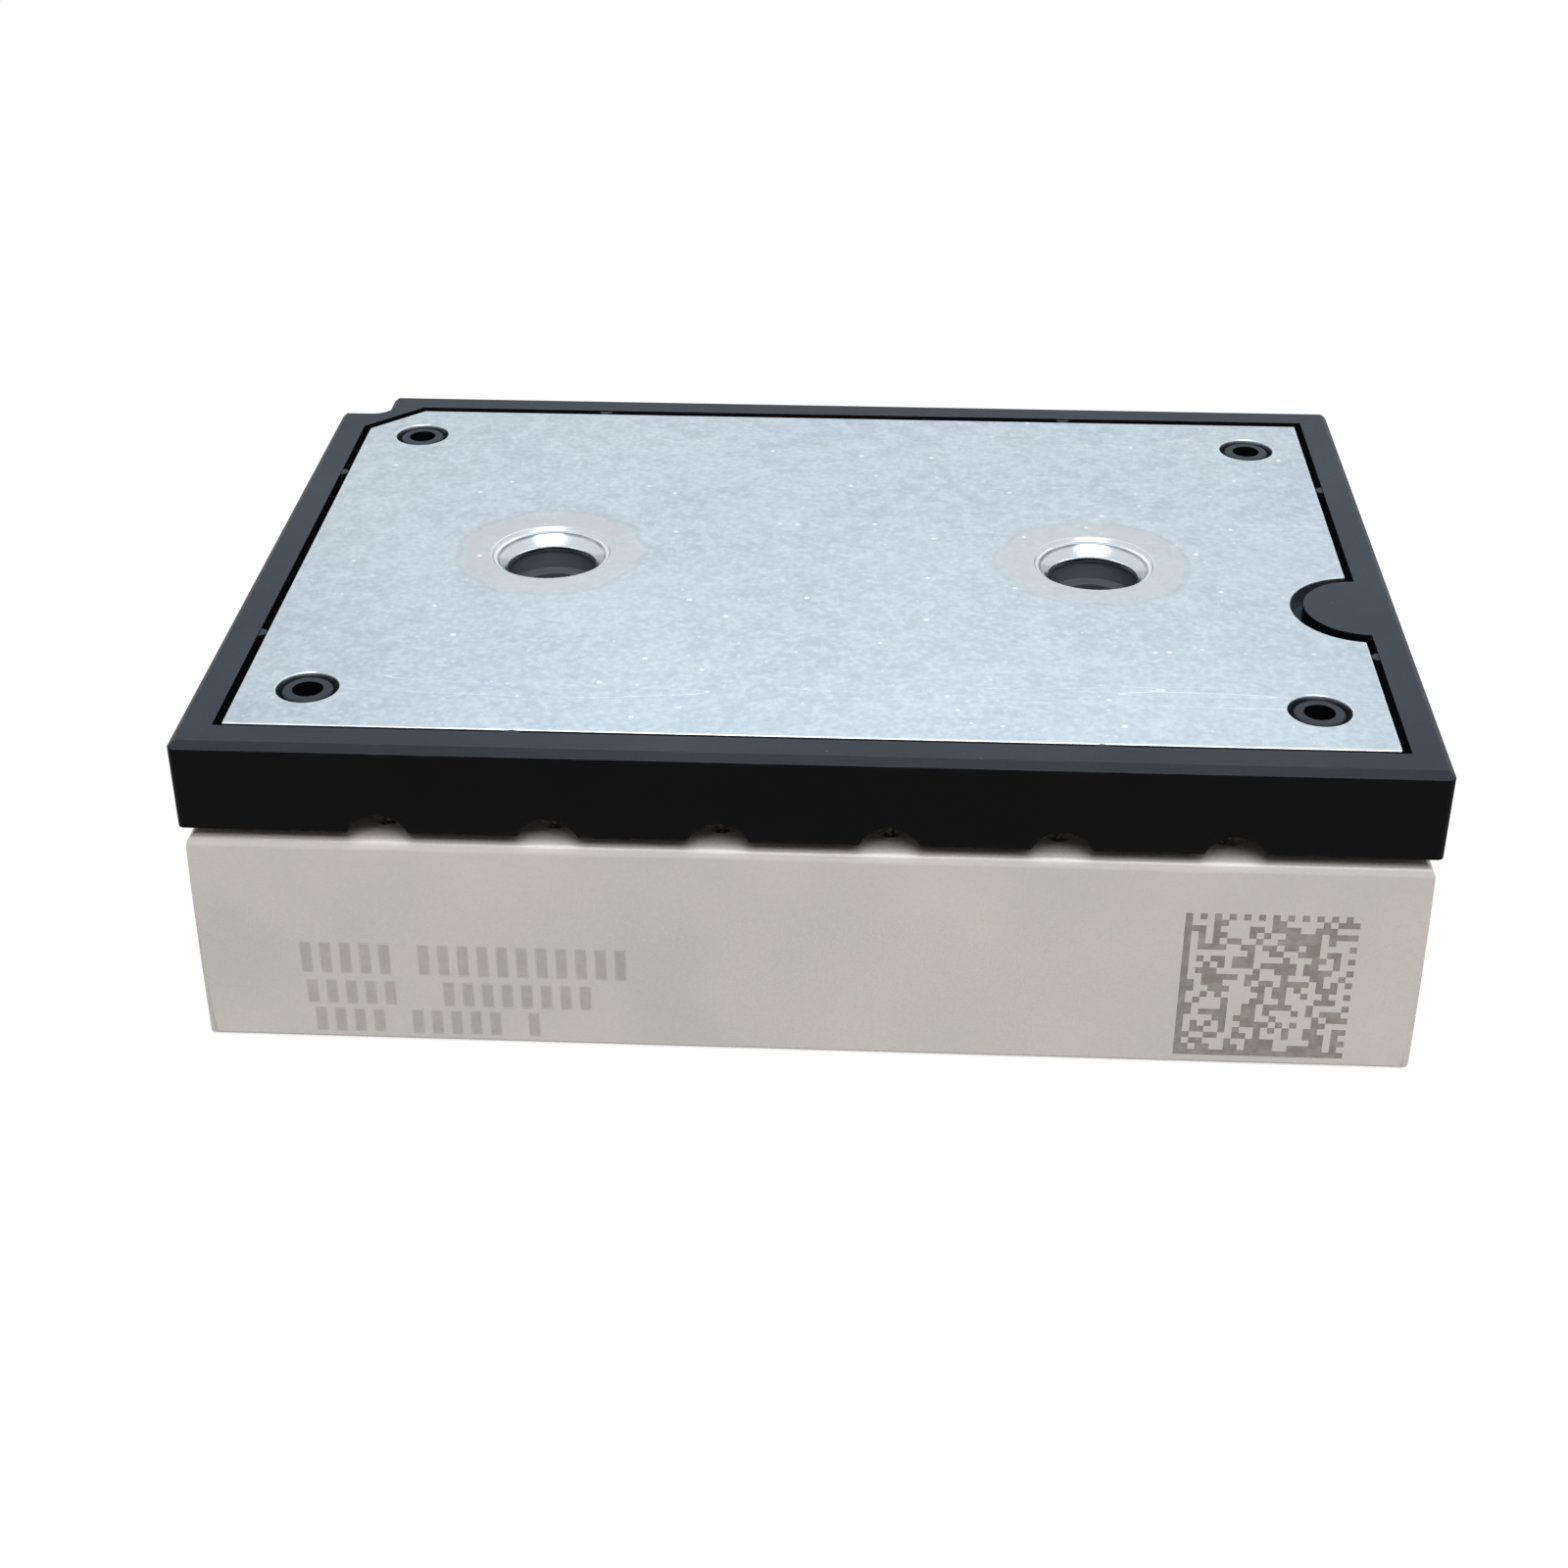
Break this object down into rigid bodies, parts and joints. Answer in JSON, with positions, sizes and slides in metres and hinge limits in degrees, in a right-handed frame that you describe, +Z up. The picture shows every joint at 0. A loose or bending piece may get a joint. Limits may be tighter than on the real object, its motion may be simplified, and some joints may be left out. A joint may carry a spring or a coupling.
{
  "type": "igbt module",
  "caption": "Flat rectangular power transistor module: pale plastic housing with spring contacts, under a black pressure lid with a steel plate and screw holes.",
  "frame": {"origin": "middle of the heat sink face, at the bottom of the module", "axes": "+X along the length, +Y to the back, away from the marked front, +Z up through the lid"},
  "size_m": [0.082, 0.059, 0.0233],
  "materials": {
    "lid_plastic": "moulded glass-filled black plastic, satin",
    "zinc_steel": "zinc-plated sheet steel, fine mottling and scratches",
    "housing_plastic": "moulded pale glass-filled plastic, satin",
    "alumina": "sintered alumina, matt",
    "copper": "bonded copper, matt",
    "adhesive": "cured silicone adhesive",
    "gel": "clear soft silicone gel",
    "silicon": "metallised silicon chip",
    "bond_wire": "drawn aluminium wire",
    "contact_metal": "silver-plated copper alloy wire",
    "sensor_body": "sintered chip thermistor"
  },
  "bodies": {
    "root": {"pressure_lid": "lid_plastic", "pressure_plate": "zinc_steel", "spring_housing": "housing_plastic", "ceramic_substrate": "alumina", "heat_sink_copper": "copper", "substrate_adhesive": "adhesive", "silicone_gel": "gel", "copper_dc_plus": "copper", "copper_dc_minus": "copper", "copper_gate_pads": "copper", "copper_sensor_pads": "copper", "temperature_sensor": "sensor_body", "copper_phase_u": "copper", "copper_phase_v": "copper", "copper_phase_w": "copper", "igbt_u_high": "silicon", "diode_u_high": "silicon", "bond_wires_u_high": "bond_wire", "igbt_u_low": "silicon", "diode_u_low": "silicon", "bond_wires_u_low": "bond_wire", "igbt_v_high": "silicon", "diode_v_high": "silicon", "bond_wires_v_high": "bond_wire", "igbt_v_low": "silicon", "diode_v_low": "silicon", "bond_wires_v_low": "bond_wire", "igbt_w_high": "silicon", "diode_w_high": "silicon", "bond_wires_w_high": "bond_wire", "igbt_w_low": "silicon", "diode_w_low": "silicon", "bond_wires_w_low": "bond_wire", "spring_dc_plus_1": "contact_metal", "spring_dc_minus_1": "contact_metal", "spring_dc_plus_2": "contact_metal", "spring_dc_minus_2": "contact_metal", "spring_dc_plus_3": "contact_metal", "spring_dc_minus_3": "contact_metal", "spring_gate_u_high": "contact_metal", "spring_gate_u_low": "contact_metal", "spring_phase_u_1": "contact_metal", "spring_phase_u_2": "contact_metal", "spring_gate_v_high": "contact_metal", "spring_gate_v_low": "contact_metal", "spring_phase_v_1": "contact_metal", "spring_phase_v_2": "contact_metal", "spring_gate_w_high": "contact_metal", "spring_gate_w_low": "contact_metal", "spring_phase_w_1": "contact_metal", "spring_phase_w_2": "contact_metal", "spring_sensor_1": "contact_metal", "spring_sensor_2": "contact_metal"}
  },
  "joints": []
}
